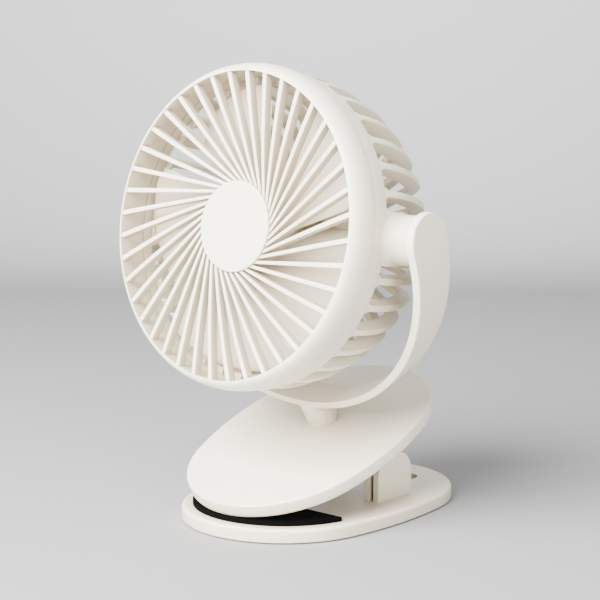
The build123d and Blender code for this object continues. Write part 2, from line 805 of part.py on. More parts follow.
def fin_outline():
    """Fill the current sketch with one fin, seen square on, from the band to the cup."""
    with BuildLine() as outline:
        ThreePointArc(
            rim(band_rear_radius, band_depth),
            rim(bowl_middle_radius, bowl_middle_depth),
            rim(bowl_shoulder_radius, bowl_shoulder_depth),
        )
        RadiusArc(
            rim(bowl_shoulder_radius, bowl_shoulder_depth),
            rim(bowl_back_radius, bowl_depth),
            bowl_corner_radius,
        )
        Polyline(
            rim(bowl_back_radius, bowl_depth),
            rim(cup_inner_radius + 1, bowl_depth),
            rim(cup_inner_radius + 1, bowl_depth - fin_depth),
            rim(bowl_back_radius - 2, bowl_depth - fin_depth),
            rim(bowl_shoulder_radius - fin_depth, bowl_shoulder_depth - 2),
            rim(bowl_middle_radius - fin_depth, bowl_middle_depth),
            rim(band_rear_radius - fin_depth, band_depth),
            rim(band_rear_radius, band_depth),
        )
    make_face(outline.edges())


with BuildPart() as rear_cover:
    # plain band behind the front ring, with a lip that enters the ring's groove
    revolve_profile(
        [
            rim(band_radius, ring_depth),
            rim(band_rear_radius, band_depth),
            rim(ring_inner_radius, band_depth),
            rim(ring_inner_radius, band_step_depth),
            rim(band_inner_radius, band_step_depth),
            rim(band_inner_radius, ring_depth),
            rim(lip_radius, ring_depth),
            rim(lip_radius, ring_depth - lip_length),
            rim(lip_radius + lip_thickness, ring_depth - lip_length),
            rim(lip_radius + lip_thickness, ring_depth),
        ]
    )
    # fins that run back over the bowl and in to the cup
    with BuildSketch(*[meridian(fin_phase + 360 / fin_count * n) for n in range(fin_count)]):
        fin_outline()
    extrude(amount=fin_thickness / 2, both=True)
    # cup that holds the motor in front and the electronics behind
    revolve_profile(
        [
            rim(0, cup_front_depth),
            rim(cup_radius, cup_front_depth),
            rim(cup_radius, bowl_depth),
            rim(cup_inner_radius, bowl_depth),
            rim(cup_inner_radius, cap_front_depth),
            rim(cup_inner_radius - cap_ledge_width, cap_front_depth),
            rim(cup_inner_radius - cap_ledge_width, cap_front_depth - cap_ledge_width),
            rim(cup_inner_radius, cap_front_depth - 2 * cap_ledge_width),
            rim(cup_inner_radius, cup_floor_depth),
            rim(0, cup_floor_depth),
        ]
    )
    head_disc(tower_radius, tower_front_depth, cup_front_depth)
    head_disc(bush_radius + press_gap, tower_front_depth, cup_front_depth, mode=Mode.SUBTRACT)
    # plain wall between the fins beside each pivot
    for start_angle in block_starts:
        with BuildSketch(meridian(start_angle)):
            fin_outline()
            with Locations(rim(band_radius, (band_depth + block_depth) / 2)):
                Rectangle(band_radius, block_depth - band_depth, mode=Mode.INTERSECT)
        revolve(axis=Axis(pivot, -head_plane.z_dir), revolution_arc=2 * block_half_angle)
    # pivot bosses and the pins that turn in the yoke
    for side_plane in pivot_planes:
        with BuildSketch(side_plane):
            with BuildLine():
                Polyline(
                    (pivot_root_reach, pivot_root_radius),
                    (pivot_block_reach, pivot_root_radius),
                    (pivot_block_reach, 0),
                    (yoke_inner_radius + pivot_pin_length, 0),
                    (yoke_inner_radius + pivot_pin_length, pivot_pin_radius),
                    (pivot_washer_foot, pivot_pin_radius),
                    (pivot_washer_foot, pivot_washer_radius + press_gap),
                    (pivot_face, pivot_washer_radius + press_gap),
                    (pivot_face, pivot_boss_radius),
                    (pivot_root_reach + pivot_root_height, pivot_boss_radius),
                )
                RadiusArc(
                    (pivot_root_reach + pivot_root_height, pivot_boss_radius),
                    (pivot_root_reach, pivot_root_radius),
                    pivot_root_height,
                )
            make_face()
        revolve(axis=Axis(pivot, (1, 0, 0)))
    # the ring's spigot keeps its seat inside the band
    revolve_profile(
        [
            rim(band_inner_radius, ring_depth),
            rim(band_inner_radius, band_step_depth),
            rim(ring_inner_radius, band_step_depth),
            rim(ring_inner_radius, band_depth),
            rim(pivot_block_reach - 1, band_depth),
            rim(pivot_block_reach - 1, ring_depth),
        ],
        mode=Mode.SUBTRACT,
    )
    # posts in the cup carry the circuit board and take the cap's screws
    with BuildSketch(head_at(board_depth)):
        with PolarLocations(post_circle_radius, cup_posts, start_angle=90):
            Circle(cup_post_radius)
    extrude(amount=board_depth - cup_floor_depth)
    with BuildSketch(head_at(board_depth)):
        with PolarLocations(post_circle_radius, cup_posts, start_angle=90):
            Circle(cap_screw_radius + press_gap)
    extrude(amount=cup_post_hole_depth, mode=Mode.SUBTRACT)

with BuildPart() as pivot_washers:
    for side_plane in pivot_planes:
        with BuildSketch(side_plane):
            with BuildLine():
                Polyline(
                    (pivot_washer_foot, pivot_washer_inner_radius),
                    (pivot_washer_foot, pivot_washer_radius),
                    (pivot_washer_foot + pivot_washer_thickness, pivot_washer_radius),
                    (pivot_washer_foot + pivot_washer_thickness, pivot_washer_inner_radius),
                    close=True,
                )
            make_face()
        revolve(axis=Axis(pivot, (1, 0, 0)))

# ---------------------------------------------------------------- battery, board and controls
board_rear_depth = board_depth + board_thickness
button_front_depth = board_rear_depth + switch_height + switch_plunger_height + button_travel + button_rest_gap
button_flange_rear = cap_front_depth - button_rest_gap


def head_box(width, height, front, rear, place=(0, 0), mode=Mode.ADD):
    """A block square to the head's axis between two depths."""
    with BuildSketch(head_at(rear)) as outline:
        with Locations(place):
            Rectangle(width, height)
    extrude(outline.sketch, amount=rear - front, mode=mode)


with BuildPart() as battery:
    head_box(battery_width, battery_height, cup_floor_depth, cup_floor_depth + battery_thickness)
    fillet(battery.edges().filter_by(head_axis), battery_round)

with BuildPart() as circuit_board:
    head_disc(board_radius, board_depth, board_rear_depth)
    with BuildSketch(head_at(board_rear_depth)):
        with PolarLocations(post_circle_radius, cup_posts, start_angle=90):
            Circle(cap_screw_radius + seam_gap)
    extrude(amount=board_thickness, mode=Mode.SUBTRACT)
    head_box(switch_side, switch_side, board_rear_depth, board_rear_depth + switch_height)
    head_disc(
        switch_plunger_radius,
        board_rear_depth + switch_height,
        board_rear_depth + switch_height + switch_plunger_height,
    )
    head_box(*chip_size, board_depth - chip_height, board_depth, place=chip_place)
    head_box(*led_size, board_rear_depth, board_rear_depth + led_height, place=(0, lens_place))

with BuildPart() as charging_port:
    port_rear = bowl_depth - port_inset
    head_box(socket_width, socket_height, board_rear_depth, port_rear, place=(0, socket_place))
    fillet(charging_port.edges().filter_by(head_axis), socket_height / 2 - 0.05)
    head_box(
        socket_width - 2 * socket_wall,
        socket_height - 2 * socket_wall,
        port_rear - socket_mouth_depth,
        port_rear,
        place=(0, socket_place),
        mode=Mode.SUBTRACT,
    )
    head_box(
        socket_tongue_width,
        socket_tongue_height,
        port_rear - socket_mouth_depth,
        port_rear - socket_tongue_set,
        place=(0, socket_place),
    )

with BuildPart() as rear_cap:
    head_disc(cup_inner_radius - seam_gap, cap_front_depth, bowl_depth)
    with BuildSketch(head_at(cap_front_depth)):
        with PolarLocations(post_circle_radius, cup_posts, start_angle=90):
            Circle(cap_boss_radius)
    extrude(amount=cap_front_depth - board_rear_depth)
    with BuildSketch(head_at(bowl_depth)):
        with PolarLocations(post_circle_radius, cup_posts, start_angle=90):
            Circle(cap_screw_radius + press_gap)
    extrude(amount=bowl_depth - board_rear_depth, mode=Mode.SUBTRACT)
    with BuildSketch(head_at(bowl_depth)):
        with PolarLocations(post_circle_radius, cup_posts, start_angle=90):
            Circle(cap_screw_head_radius + press_gap)
    extrude(amount=cap_screw_head_height, mode=Mode.SUBTRACT)
    head_disc(button_radius + button_clearance, cap_front_depth, bowl_depth, mode=Mode.SUBTRACT)
    with BuildSketch(head_at(bowl_depth)):
        with Locations((0, socket_place)):
            SlotOverall(socket_width + 2 * seam_gap, socket_height + 2 * seam_gap)
        with Locations((0, lens_place)):
            SlotOverall(lens_width + 2 * press_gap, lens_height + 2 * press_gap)
    extrude(amount=rear_cap_thickness, mode=Mode.SUBTRACT)

with BuildPart() as cap_screws:
    with BuildSketch(head_at(bowl_depth)):
        with PolarLocations(post_circle_radius, cup_posts, start_angle=90):
            Circle(cap_screw_head_radius)
    extrude(amount=cap_screw_head_height)
    with BuildSketch(head_at(bowl_depth - cap_screw_head_height)):
        with PolarLocations(post_circle_radius, cup_posts, start_angle=90):
            Circle(cap_screw_radius)
    extrude(amount=cap_screw_length)

with BuildPart() as led_lens:
    with BuildSketch(head_at(bowl_depth)):
        with Locations((0, lens_place)):
            SlotOverall(lens_width, lens_height)
    extrude(amount=bowl_depth - board_rear_depth - led_height - seam_gap)

with BuildPart() as power_button:
    head_disc(button_radius, button_flange_rear - button_flange_thickness, bowl_depth + button_proud)
    fillet(power_button.edges().group_by(head_axis)[0], button_round)
    head_disc(button_flange_radius, button_flange_rear - button_flange_thickness, button_flange_rear)
    head_disc(switch_plunger_radius, button_front_depth, button_flange_rear)

# ---------------------------------------------------------------- motor
rotor_ring_radius = impeller_hub_radius - impeller_hub_wall - press_gap
hub_web_rear = impeller_hub_front + impeller_hub_wall
core_rear = tower_front_depth - turning_gap

with BuildPart() as stator:
    with BuildSketch(head_at(stator_rear)):
        Circle(stator_radius)
        with PolarLocations(stator_slot_circle, stator_slots):
            Circle(stator_slot_radius, mode=Mode.SUBTRACT)
        Circle(tower_radius + press_gap, mode=Mode.SUBTRACT)
    extrude(amount=stator_rear - stator_front)

with BuildPart() as shaft_bush:
    head_disc(bush_radius, tower_front_depth, cup_front_depth)
    head_disc(shaft_radius + shaft_fit, tower_front_depth, cup_front_depth, mode=Mode.SUBTRACT)

with BuildPart() as motor_shaft:
    head_disc(shaft_radius, hub_web_rear - shaft_bite, cup_front_depth - seam_gap)

with BuildPart() as rotor_ring:
    head_disc(rotor_ring_radius, rotor_ring_front, rotor_ring_rear)
    head_disc(rotor_ring_radius - rotor_ring_wall, rotor_ring_front, rotor_ring_rear, mode=Mode.SUBTRACT)

# ---------------------------------------------------------------- impeller


def blade_section(half_chord, front, rear):
    """Fill the current sketch with a blade's section, bowed like a sail."""
    middle = (front + rear) / 2 - blade_camber * half_chord
    with BuildLine() as outline:
        ThreePointArc(rim(-half_chord, front), rim(0, middle), rim(half_chord, rear))
        Line(rim(half_chord, rear), rim(half_chord, rear + blade_thickness))
        ThreePointArc(
            rim(half_chord, rear + blade_thickness),
            rim(0, middle + blade_thickness),
            rim(-half_chord, front + blade_thickness),
        )
        Line(rim(-half_chord, front + blade_thickness), rim(-half_chord, front))
    make_face(outline.edges())


blade_directions = []
for number in range(blade_count):
    blade_angle = radians(blade_phase + 360 / blade_count * number)
    blade_directions.append(
        head_plane.x_dir * sin(blade_angle) + head_plane.y_dir * cos(blade_angle)
    )
blade_tip_x = blade_tip_radius * cos(radians(blade_half_angle))
blade_tip_y = blade_tip_radius * sin(radians(blade_half_angle))

with BuildPart() as impeller:
    for outward in blade_directions:
        across = head_plane.z_dir.cross(outward)
        with BuildSketch(
            Plane(origin=pivot + outward * blade_root_distance, x_dir=across, z_dir=outward)
        ):
            blade_section(blade_root_half_chord, blade_root_front, blade_root_rear)
        with BuildSketch(
            Plane(origin=pivot + outward * blade_outer_distance, x_dir=across, z_dir=outward)
        ):
            blade_section(blade_outer_half_chord, blade_outer_front, blade_outer_rear)
        loft(ruled=True)
    # round the blades' corners and trim their tips to a circle
    with BuildSketch(head_at(cup_front_depth)) as blade_outlines:
        for number in range(blade_count):
            blade_turn = 90 - blade_phase - 360 / blade_count * number
            with BuildLine(Plane.XY.rotated((0, 0, blade_turn))):
                Line((0, -blade_root_half_width), (blade_tip_x, -blade_tip_y))
                ThreePointArc(
                    (blade_tip_x, -blade_tip_y), (blade_tip_radius, 0), (blade_tip_x, blade_tip_y)
                )
                Line((blade_tip_x, blade_tip_y), (0, blade_root_half_width))
                Line((0, blade_root_half_width), (0, -blade_root_half_width))
            make_face()
        tip_corners = blade_outlines.vertices().filter_by(
            lambda corner: hypot(corner.X, corner.Y) > blade_tip_radius - 1
        )
        fillet(tip_corners, blade_corner_round)
    extrude(amount=cup_front_depth, mode=Mode.INTERSECT)
    # hub: a cup over the rotor, with a core on the shaft
    head_disc(impeller_hub_radius, impeller_hub_front, impeller_hub_rear)
    fillet(impeller.edges().group_by(head_axis)[-1], impeller_hub_round)
    head_disc(impeller_hub_radius - impeller_hub_wall, hub_web_rear, cup_front_depth, mode=Mode.SUBTRACT)
    head_disc(impeller_core_radius, hub_web_rear, core_rear)
    head_disc(shaft_radius + press_gap, hub_web_rear - shaft_bite, core_rear, mode=Mode.SUBTRACT)

# ---------------------------------------------------------------- write every piece
pieces = {
    "foot_pad": foot_pad,
    "base_cover": base_cover,
    "base_shell": base_shell,
    "base_screws": base_screws,
    "lower_jaw_pad": lower_jaw_pad,
    "hinge_pin": hinge_pin,
    "clip_spring": clip_spring,
    "jaw_cover": jaw_cover,
    "jaw_liner": jaw_liner,
    "upper_jaw_pad": upper_jaw_pad,
    "jaw_screws": jaw_screws,
    "swivel_post": swivel_post,
    "yoke": yoke,
    "swivel_washer": swivel_washer,
    "swivel_screw": swivel_screw,
    "front_grille": front_grille,
    "grille_cap": grille_cap,
    "rear_cover": rear_cover,
    "pivot_washers": pivot_washers,
    "battery": battery,
    "circuit_board": circuit_board,
    "charging_port": charging_port,
    "rear_cap": rear_cap,
    "cap_screws": cap_screws,
    "led_lens": led_lens,
    "power_button": power_button,
    "stator": stator,
    "shaft_bush": shaft_bush,
    "motor_shaft": motor_shaft,
    "rotor_ring": rotor_ring,
    "impeller": impeller,
}

os.makedirs("parts", exist_ok=True)
for name, piece in pieces.items():
    piece.part.label = name
    export_step(piece.part, f"parts/{name}.step")
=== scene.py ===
import json
import math

import bmesh
import bpy
from mathutils import Matrix, Vector


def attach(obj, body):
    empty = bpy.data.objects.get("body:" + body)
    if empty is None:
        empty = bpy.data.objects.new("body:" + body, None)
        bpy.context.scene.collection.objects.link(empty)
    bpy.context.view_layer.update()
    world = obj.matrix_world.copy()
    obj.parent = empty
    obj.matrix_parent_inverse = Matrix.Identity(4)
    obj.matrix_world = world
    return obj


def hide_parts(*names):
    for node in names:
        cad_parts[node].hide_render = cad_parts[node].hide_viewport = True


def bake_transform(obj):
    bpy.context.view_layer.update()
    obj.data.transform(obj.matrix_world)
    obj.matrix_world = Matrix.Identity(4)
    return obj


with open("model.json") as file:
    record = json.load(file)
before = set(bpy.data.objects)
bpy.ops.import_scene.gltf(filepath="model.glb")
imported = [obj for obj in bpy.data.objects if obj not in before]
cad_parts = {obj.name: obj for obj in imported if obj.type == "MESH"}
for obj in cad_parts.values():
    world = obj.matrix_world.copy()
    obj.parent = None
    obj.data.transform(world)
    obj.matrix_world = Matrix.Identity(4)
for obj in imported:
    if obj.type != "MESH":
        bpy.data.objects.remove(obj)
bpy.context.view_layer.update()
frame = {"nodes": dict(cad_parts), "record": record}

# Sizes are in millimetres and degrees, as in the CAD model, and become metres in new_mesh().
# "Depth" is a distance behind the plane of the grille's opening.
MM = 0.001
QUARTER = math.pi / 2


# ---------------------------------------------------------------- places, from the frame's joints
joints = {joint["name"]: joint for joint in frame["record"]["behaviour"]["joints"]}


def joint_place(name):
    """Where a joint is, in millimetres."""
    return Vector(joints[name]["pos_m"]) / MM


def axes_at(origin, forward):
    """Axes whose x is to the right and whose z runs along a direction in the middle plane."""
    return Matrix.Translation(origin) @ Matrix.Rotation(math.atan2(-forward[1], forward[2]), 4, "X")


POST_SET = 9.2  # the post stands this far behind the middle of the upper jaw
FLOOR = Matrix.Identity(4)
POST = axes_at(joint_place("yoke_swivel"), joints["yoke_swivel"]["axis"])
JAW = POST @ Matrix.Translation((0, -POST_SET, 0))
HEAD = axes_at(joint_place("head_tilt"), joints["impeller_spin"]["axis"])
PIN = joint_place("clip_hinge")
OPENING = 29.8  # the plane of the grille's opening lies this far ahead of the pivots


# ---------------------------------------------------------------- mesh helpers
def new_mesh(name, points, faces, place, sharp=32):
    """A smooth-shaded object from points in millimetres in a place's own axes."""
    mesh = bpy.data.meshes.new(name)
    mesh.from_pydata([(place @ Vector(point)) * MM for point in points], [], faces)
    mesh.validate()
    skin = bmesh.new()
    skin.from_mesh(mesh)
    bmesh.ops.recalc_face_normals(skin, faces=skin.faces)
    skin.to_mesh(mesh)
    skin.free()
    mesh.polygons.foreach_set("use_smooth", [True] * len(mesh.polygons))
    mesh.set_sharp_from_angle(angle=math.radians(sharp))
    made = bpy.data.objects.new(name, mesh)
    bpy.context.scene.collection.objects.link(made)
    return made


def grid_faces(rows, columns, close_rows=False, close_columns=False):
    """Quads between a grid of points stored row by row."""
    faces = []
    for row in range(rows if close_rows else rows - 1):
        for column in range(columns if close_columns else columns - 1):
            next_row = (row + 1) % rows
            next_column = (column + 1) % columns
            faces.append(
                (
                    row * columns + column,
                    row * columns + next_column,
                    next_row * columns + next_column,
                    next_row * columns + column,
                )
            )
    return faces


def rounded(corners, steps=5):
    """Points of a closed outline whose corners (x, y, radius) are rounded."""
    made = []
    for index, (x, y, radius) in enumerate(corners):
        here = Vector((x, y))
        if radius <= 0:
            made.append(here)
            continue
        back = Vector(corners[index - 1][:2]) - here
        ahead = Vector(corners[(index + 1) % len(corners)][:2]) - here
        reach = min(radius / math.tan(back.angle(ahead) / 2), back.length * 0.49, ahead.length * 0.49)
        start = here + back.normalized() * reach
        end = here + ahead.normalized() * reach
        for step in range(steps + 1):
            t = step / steps
            made.append(start * (1 - t) ** 2 + here * 2 * t * (1 - t) + end * t**2)
    return made


def quarter_round(start, end, steps):
    """Points on a quarter of an ellipse that leaves its start along the second coordinate."""
    turns = [QUARTER * step / steps for step in range(steps + 1)]
    return [
        (end[0] + (start[0] - end[0]) * math.cos(turn), start[1] + (end[1] - start[1]) * math.sin(turn))
        for turn in turns
    ]


def arc_through(first, second, third, steps):
    """Points of the arc through three points."""
    (ax, ay), (bx, by), (cx, cy) = first, second, third
    across = 2 * (ax * (by - cy) + bx * (cy - ay) + cx * (ay - by))
    a2, b2, c2 = ax * ax + ay * ay, bx * bx + by * by, cx * cx + cy * cy
    centre = Vector(
        (
            (a2 * (by - cy) + b2 * (cy - ay) + c2 * (ay - by)) / across,
            (a2 * (cx - bx) + b2 * (ax - cx) + c2 * (bx - ax)) / across,
        )
    )
    radius = (Vector(first) - centre).length
    start = math.atan2(ay - centre.y, ax - centre.x)
    end = math.atan2(cy - centre.y, cx - centre.x)
    turns = [start + (end - start) * step / steps for step in range(steps + 1)]
    return [(centre.x + radius * math.cos(turn), centre.y + radius * math.sin(turn)) for turn in turns]


def lathe(name, outline, place, steps=160, closed=True):
    """Turns an outline of (radius, height) about the place's z axis."""
    points = []
    for step in range(steps):
        turn = 2 * math.pi * step / steps
        points += [(radius * math.cos(turn), radius * math.sin(turn), height) for radius, height in outline]
    return new_mesh(name, points, grid_faces(steps, len(outline), True, closed), place)


def behind(*corners):
    """An outline for the head's axes from corners of (radius, depth, rounding)."""
    return [(radius, OPENING - depth, rounding) for radius, depth, rounding in corners]


def turned(name, corners, steps=160):
    """A piece of the head turned from a closed outline with rounded corners."""
    return lathe(name, rounded(behind(*corners)), HEAD, steps)


def many(name, groups, place, sharp=40):
    """One object from several runs of closed rings, each closed by flat ends."""
    points, faces = [], []
    for rings in groups:
        first, width = len(points), len(rings[0])
        for ring in rings:
            points += ring
        faces += [
            tuple(first + corner for corner in face)
            for face in grid_faces(len(rings), width, close_columns=True)
        ]
        faces.append(tuple(first + corner for corner in range(width - 1, -1, -1)))
        faces.append(tuple(range(len(points) - width, len(points))))
    return new_mesh(name, points, faces, place, sharp)


# ---------------------------------------------------------------- materials
def node(tree, kind, **settings):
    """A shader node with its sockets or settings filled in by name."""
    made = tree.nodes.new(kind)
    for key, value in settings.items():
        if key in made.inputs:
            made.inputs[key].default_value = value
        else:
            setattr(made, key, value)
    return made


def new_material(name):
    """A material, its node tree and its shader."""
    material = bpy.data.materials.new(name)
    material.use_nodes = True
    return material, material.node_tree, material.node_tree.nodes["Principled BSDF"]


def noise(tree, scale, detail, roughness=0.5):
    """The value of a noise that lies still on the piece."""
    place = node(tree, "ShaderNodeTexCoord")
    made = node(tree, "ShaderNodeTexNoise", Scale=scale, Detail=detail, Roughness=roughness)
    tree.links.new(place.outputs["Object"], made.inputs["Vector"])
    return made.outputs["Fac"]


def vary_roughness(tree, shader, value, low, high):
    """Lets the gloss wander between two roughnesses."""
    spread = node(tree, "ShaderNodeMapRange")
    spread.inputs["To Min"].default_value = low
    spread.inputs["To Max"].default_value = high
    tree.links.new(value, spread.inputs["Value"])
    tree.links.new(spread.outputs["Result"], shader.inputs["Roughness"])


def raise_grain(tree, shader, value, strength, height):
    """Turns a texture into fine relief; its height is in metres."""
    bump = node(tree, "ShaderNodeBump", Strength=strength, Distance=height)
    tree.links.new(value, bump.inputs["Height"])
    tree.links.new(bump.outputs["Normal"], shader.inputs["Normal"])


DRIFT = {"scale": 22.0, "detail": 3.0}
SCUFFS = {"scale": 90.0, "detail": 6.0, "roughness": 0.65}
SCRATCHES = {"scale": 900.0, "detail": 3.0}
PAINTED_SHADE_REACH = 0.03  # metres within which a nearby surface paints shade on a spot


def moulded(name, colour, roughness, grain, grain_height, subsurface=0.0, rubbed=0.04, gloss=0.5, painted_shade_tone=None):
    """Moulded plastic or rubber: fine grain, a slow drift of tone, slightly uneven gloss and, when a shade
    tone is given, painted shade that darkens hollows and inner corners.
    """
    material, tree, shader = new_material(name)
    shader.inputs["Subsurface Weight"].default_value = subsurface
    shader.inputs["Subsurface Radius"].default_value = (0.004, 0.003, 0.002)
    shader.inputs["Subsurface Scale"].default_value = 1.0
    shader.inputs["Specular IOR Level"].default_value = gloss
    tone = node(tree, "ShaderNodeMix", data_type="RGBA")
    tone.inputs["A"].default_value = (*colour, 1)
    tone.inputs["B"].default_value = (*[channel * (1 - rubbed) for channel in colour], 1)
    tree.links.new(noise(tree, **DRIFT), tone.inputs["Factor"])
    if painted_shade_tone:
        # painted shade: hollows, folds and inner corners are darkened towards a warm brown where other
        # surfaces stand close
        occlusion = node(tree, "ShaderNodeAmbientOcclusion", samples=6, Distance=PAINTED_SHADE_REACH)
        painted_shade_mix = node(tree, "ShaderNodeMix", data_type="RGBA")
        painted_shade_mix.inputs["A"].default_value = (*painted_shade_tone, 1)
        tree.links.new(occlusion.outputs["AO"], painted_shade_mix.inputs["Factor"])
        tree.links.new(tone.outputs["Result"], painted_shade_mix.inputs["B"])
        tone = painted_shade_mix
    tree.links.new(tone.outputs["Result"], shader.inputs["Base Color"])
    vary_roughness(tree, shader, noise(tree, **SCUFFS), roughness - 0.05, roughness + 0.05)
    raise_grain(tree, shader, noise(tree, scale=grain, detail=2.0, roughness=0.6), 0.25, grain_height)
    return material


def metal(name, colour, roughness):
    """Drawn or turned metal with fine scratches."""
    material, tree, shader = new_material(name)
    shader.inputs["Base Color"].default_value = (*colour, 1)
    shader.inputs["Metallic"].default_value = 1.0
    scratches = noise(tree, **SCRATCHES)
    vary_roughness(tree, shader, scratches, roughness - 0.08, roughness + 0.12)
    raise_grain(tree, shader, scratches, 0.15, 0.00005)
    return material


# painted shade: the warm brown that hollows and inner corners of the plastic are darkened towards
PAINTED_SHADE_TONE = (0.40, 0.33, 0.22)
WHITE = moulded("satin_white", (0.88, 0.81, 0.65), 0.42, 2600.0, 0.00006, subsurface=0.04, painted_shade_tone=PAINTED_SHADE_TONE)
# painted shade: a darker copy of the white plastic, standing in for the light the impeller loses inside the
# head
SHADED_WHITE = moulded("satin_white_painted_shade", (0.78, 0.70, 0.54), 0.45, 2600.0, 0.00006, painted_shade_tone=PAINTED_SHADE_TONE)
RUBBER = moulded("black_rubber", (0.0016, 0.0015, 0.0014), 0.85, 1500.0, 0.0001, rubbed=0.3, gloss=0.04)
STEEL = metal("steel", (0.5, 0.5, 0.51), 0.32)
NYLON = moulded("nylon", (0.78, 0.77, 0.73), 0.5, 2000.0, 0.00005, subsurface=0.2)
BOARD = moulded("board", (0.02, 0.12, 0.06), 0.35, 3000.0, 0.00003)
FOIL = metal("foil", (0.75, 0.75, 0.76), 0.3)
BRONZE = metal("bronze", (0.5, 0.33, 0.15), 0.4)
IRON = metal("iron", (0.2, 0.2, 0.21), 0.5)
LENS = moulded("lens", (0.85, 0.85, 0.83), 0.2, 2000.0, 0.00002, subsurface=0.5)
PAINT = moulded("studio_paint", (0.32, 0.32, 0.324), 0.75, 300.0, 0.0001, rubbed=0.01)
FINISH = {
    "white_plastic": WHITE, "black_rubber": RUBBER, "steel": STEEL, "white_nylon": NYLON,
    "foil": FOIL, "board": BOARD, "lens": LENS, "bronze": BRONZE, "iron": IRON,
}


def dress(piece, slot, *nodes, material=None):
    """Gives a new piece its material, and lets it stand for CAD nodes."""
    piece.data.materials.append(material or FINISH[slot])
    if nodes:
        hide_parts(*nodes)


def finish(piece, body, *nodes, material=None):
    """Dresses a new piece of white plastic and lets it ride on a body."""
    dress(piece, "white_plastic", *nodes, material=material)
    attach(piece, body)


# ---------------------------------------------------------------- the CAD nodes that stay
EASED = (
    "yoke", "jaw_liner", "base_shell", "base_cover", "swivel_post", "rear_cap", "power_button",
    "lower_jaw_pad", "upper_jaw_pad", "foot_pad", "charging_port", "led_lens",
)
EASED_WIDTH, EASED_FROM = 0.25, 50  # moulded edges sharper than this many degrees are eased
for part in frame["record"]["subparts"]:
    cad_node = frame["nodes"][part["node"]]
    cad_node.data.materials.clear()
    cad_node.data.materials.append(FINISH[part["material_slot"]])
    if part["node"] in EASED:
        eased = cad_node.modifiers.new("eased_edges", "BEVEL")
        eased.width = EASED_WIDTH * MM
        eased.segments = 2
        eased.limit_method = "ANGLE"
        eased.angle_limit = math.radians(EASED_FROM)
        eased.harden_normals = True

# ---------------------------------------------------------------- studio
# round: a flat floor that sweeps up into a wall on every side
FLOOR_REACH, SWEEP, WALL_TOP = 1300.0, 900.0, 2600.0
WORLD_STRENGTH = 0.55
FAN_MIDDLE = (0, -0.02, 0.1)
floor_line = [(0.001, 0.0), (300.0, 0.0), (800.0, 0.0)]
sweep_line = quarter_round((FLOOR_REACH + SWEEP, SWEEP), (FLOOR_REACH, 0.0), 24)[::-1]
studio = lathe("studio", floor_line + sweep_line + [(FLOOR_REACH + SWEEP, WALL_TOP)], FLOOR, 96, closed=False)
studio.data.materials.append(PAINT)

world = bpy.data.worlds.new("studio")
world.use_nodes = True
world.node_tree.nodes["Background"].inputs["Color"].default_value = (1.0, 1.0, 1.0, 1)
world.node_tree.nodes["Background"].inputs["Strength"].default_value = WORLD_STRENGTH
bpy.context.scene.world = world


def looking_back(name, data, azimuth, elevation, distance, target):
    """A lamp or camera that looks at a target from a direction; metres, azimuth 0 in front of the fan."""
    turn, rise = math.radians(azimuth), math.radians(elevation)
    away = Vector((math.sin(turn) * math.cos(rise), -math.cos(turn) * math.cos(rise), math.sin(rise)))
    made = bpy.data.objects.new(name, data)
    made.location = Vector(target) + away * distance
    made.rotation_euler = away.to_track_quat("Z", "Y").to_euler()
    bpy.context.scene.collection.objects.link(made)
    return made


def softbox(name, azimuth, elevation, distance, width, height, power, target=FAN_MIDDLE):
    """A soft panel light; metres and watts."""
    lamp = bpy.data.lights.new(name, "AREA")
    lamp.shape = "RECTANGLE"
    lamp.size = width
    lamp.size_y = height
    lamp.energy = power
    looking_back(name, lamp, azimuth, elevation, distance, target)


softbox("key", -3, 33, 1.1, 0.9, 0.9, 98.0)
softbox("fill", 65, 14, 1.5, 0.9, 0.45, 24.0)
softbox("wall_light", 41, 10, 1.35, 0.8, 0.8, 76.0, target=(-1.5, 1.75, 0.9))

# ---------------------------------------------------------------- camera
PHOTO_WIDTH, FOCAL_LENGTH = 600, 1505.862  # pixels
CAMERA_AZIMUTH, CAMERA_ELEVATION = 40.919, 7.411
CAMERA_DISTANCE, CAMERA_TARGET = 0.680, Vector((-14.246, 2.7, 91.678)) * MM
lens = bpy.data.cameras.new("camera")
lens.sensor_width = 36.0
lens.lens = lens.sensor_width * FOCAL_LENGTH / PHOTO_WIDTH
bpy.context.scene.camera = looking_back(
    "camera", lens, CAMERA_AZIMUTH, CAMERA_ELEVATION, CAMERA_DISTANCE, CAMERA_TARGET
)

# ---------------------------------------------------------------- front ring
CENTRE = 0.01  # radius at which a disc's outline meets the axis
OPENING_RADIUS, RING_WIDTH, NOSE_DEPTH, RING_DEPTH = 64.0, 4.2, 9.0, 10.5
RING_RADIUS = OPENING_RADIUS + RING_WIDTH
GROOVE_FLOOR = 5.0
GROOVE_RADIUS, SPIGOT_RADIUS, SPIGOT_INNER, SPIGOT_DEPTH = 66.9, 65.9, 64.5, 13.9

ring_nose = quarter_round((RING_RADIUS, OPENING - NOSE_DEPTH), (OPENING_RADIUS, OPENING), 18)[::-1]
ring_tail = rounded(
    behind(
        (RING_RADIUS, NOSE_DEPTH, 0),
        (RING_RADIUS, RING_DEPTH, 0.25),
        (GROOVE_RADIUS, RING_DEPTH, 0),
        (GROOVE_RADIUS, GROOVE_FLOOR, 0),
        (SPIGOT_RADIUS, GROOVE_FLOOR, 0),
        (SPIGOT_RADIUS, SPIGOT_DEPTH, 0),
        (SPIGOT_INNER, SPIGOT_DEPTH, 0.25),
        (SPIGOT_INNER - 0.1, NOSE_DEPTH, 0),
    )
)
finish(lathe("front_ring", ring_nose + ring_tail[1:], HEAD, 240), "head", "front_grille")

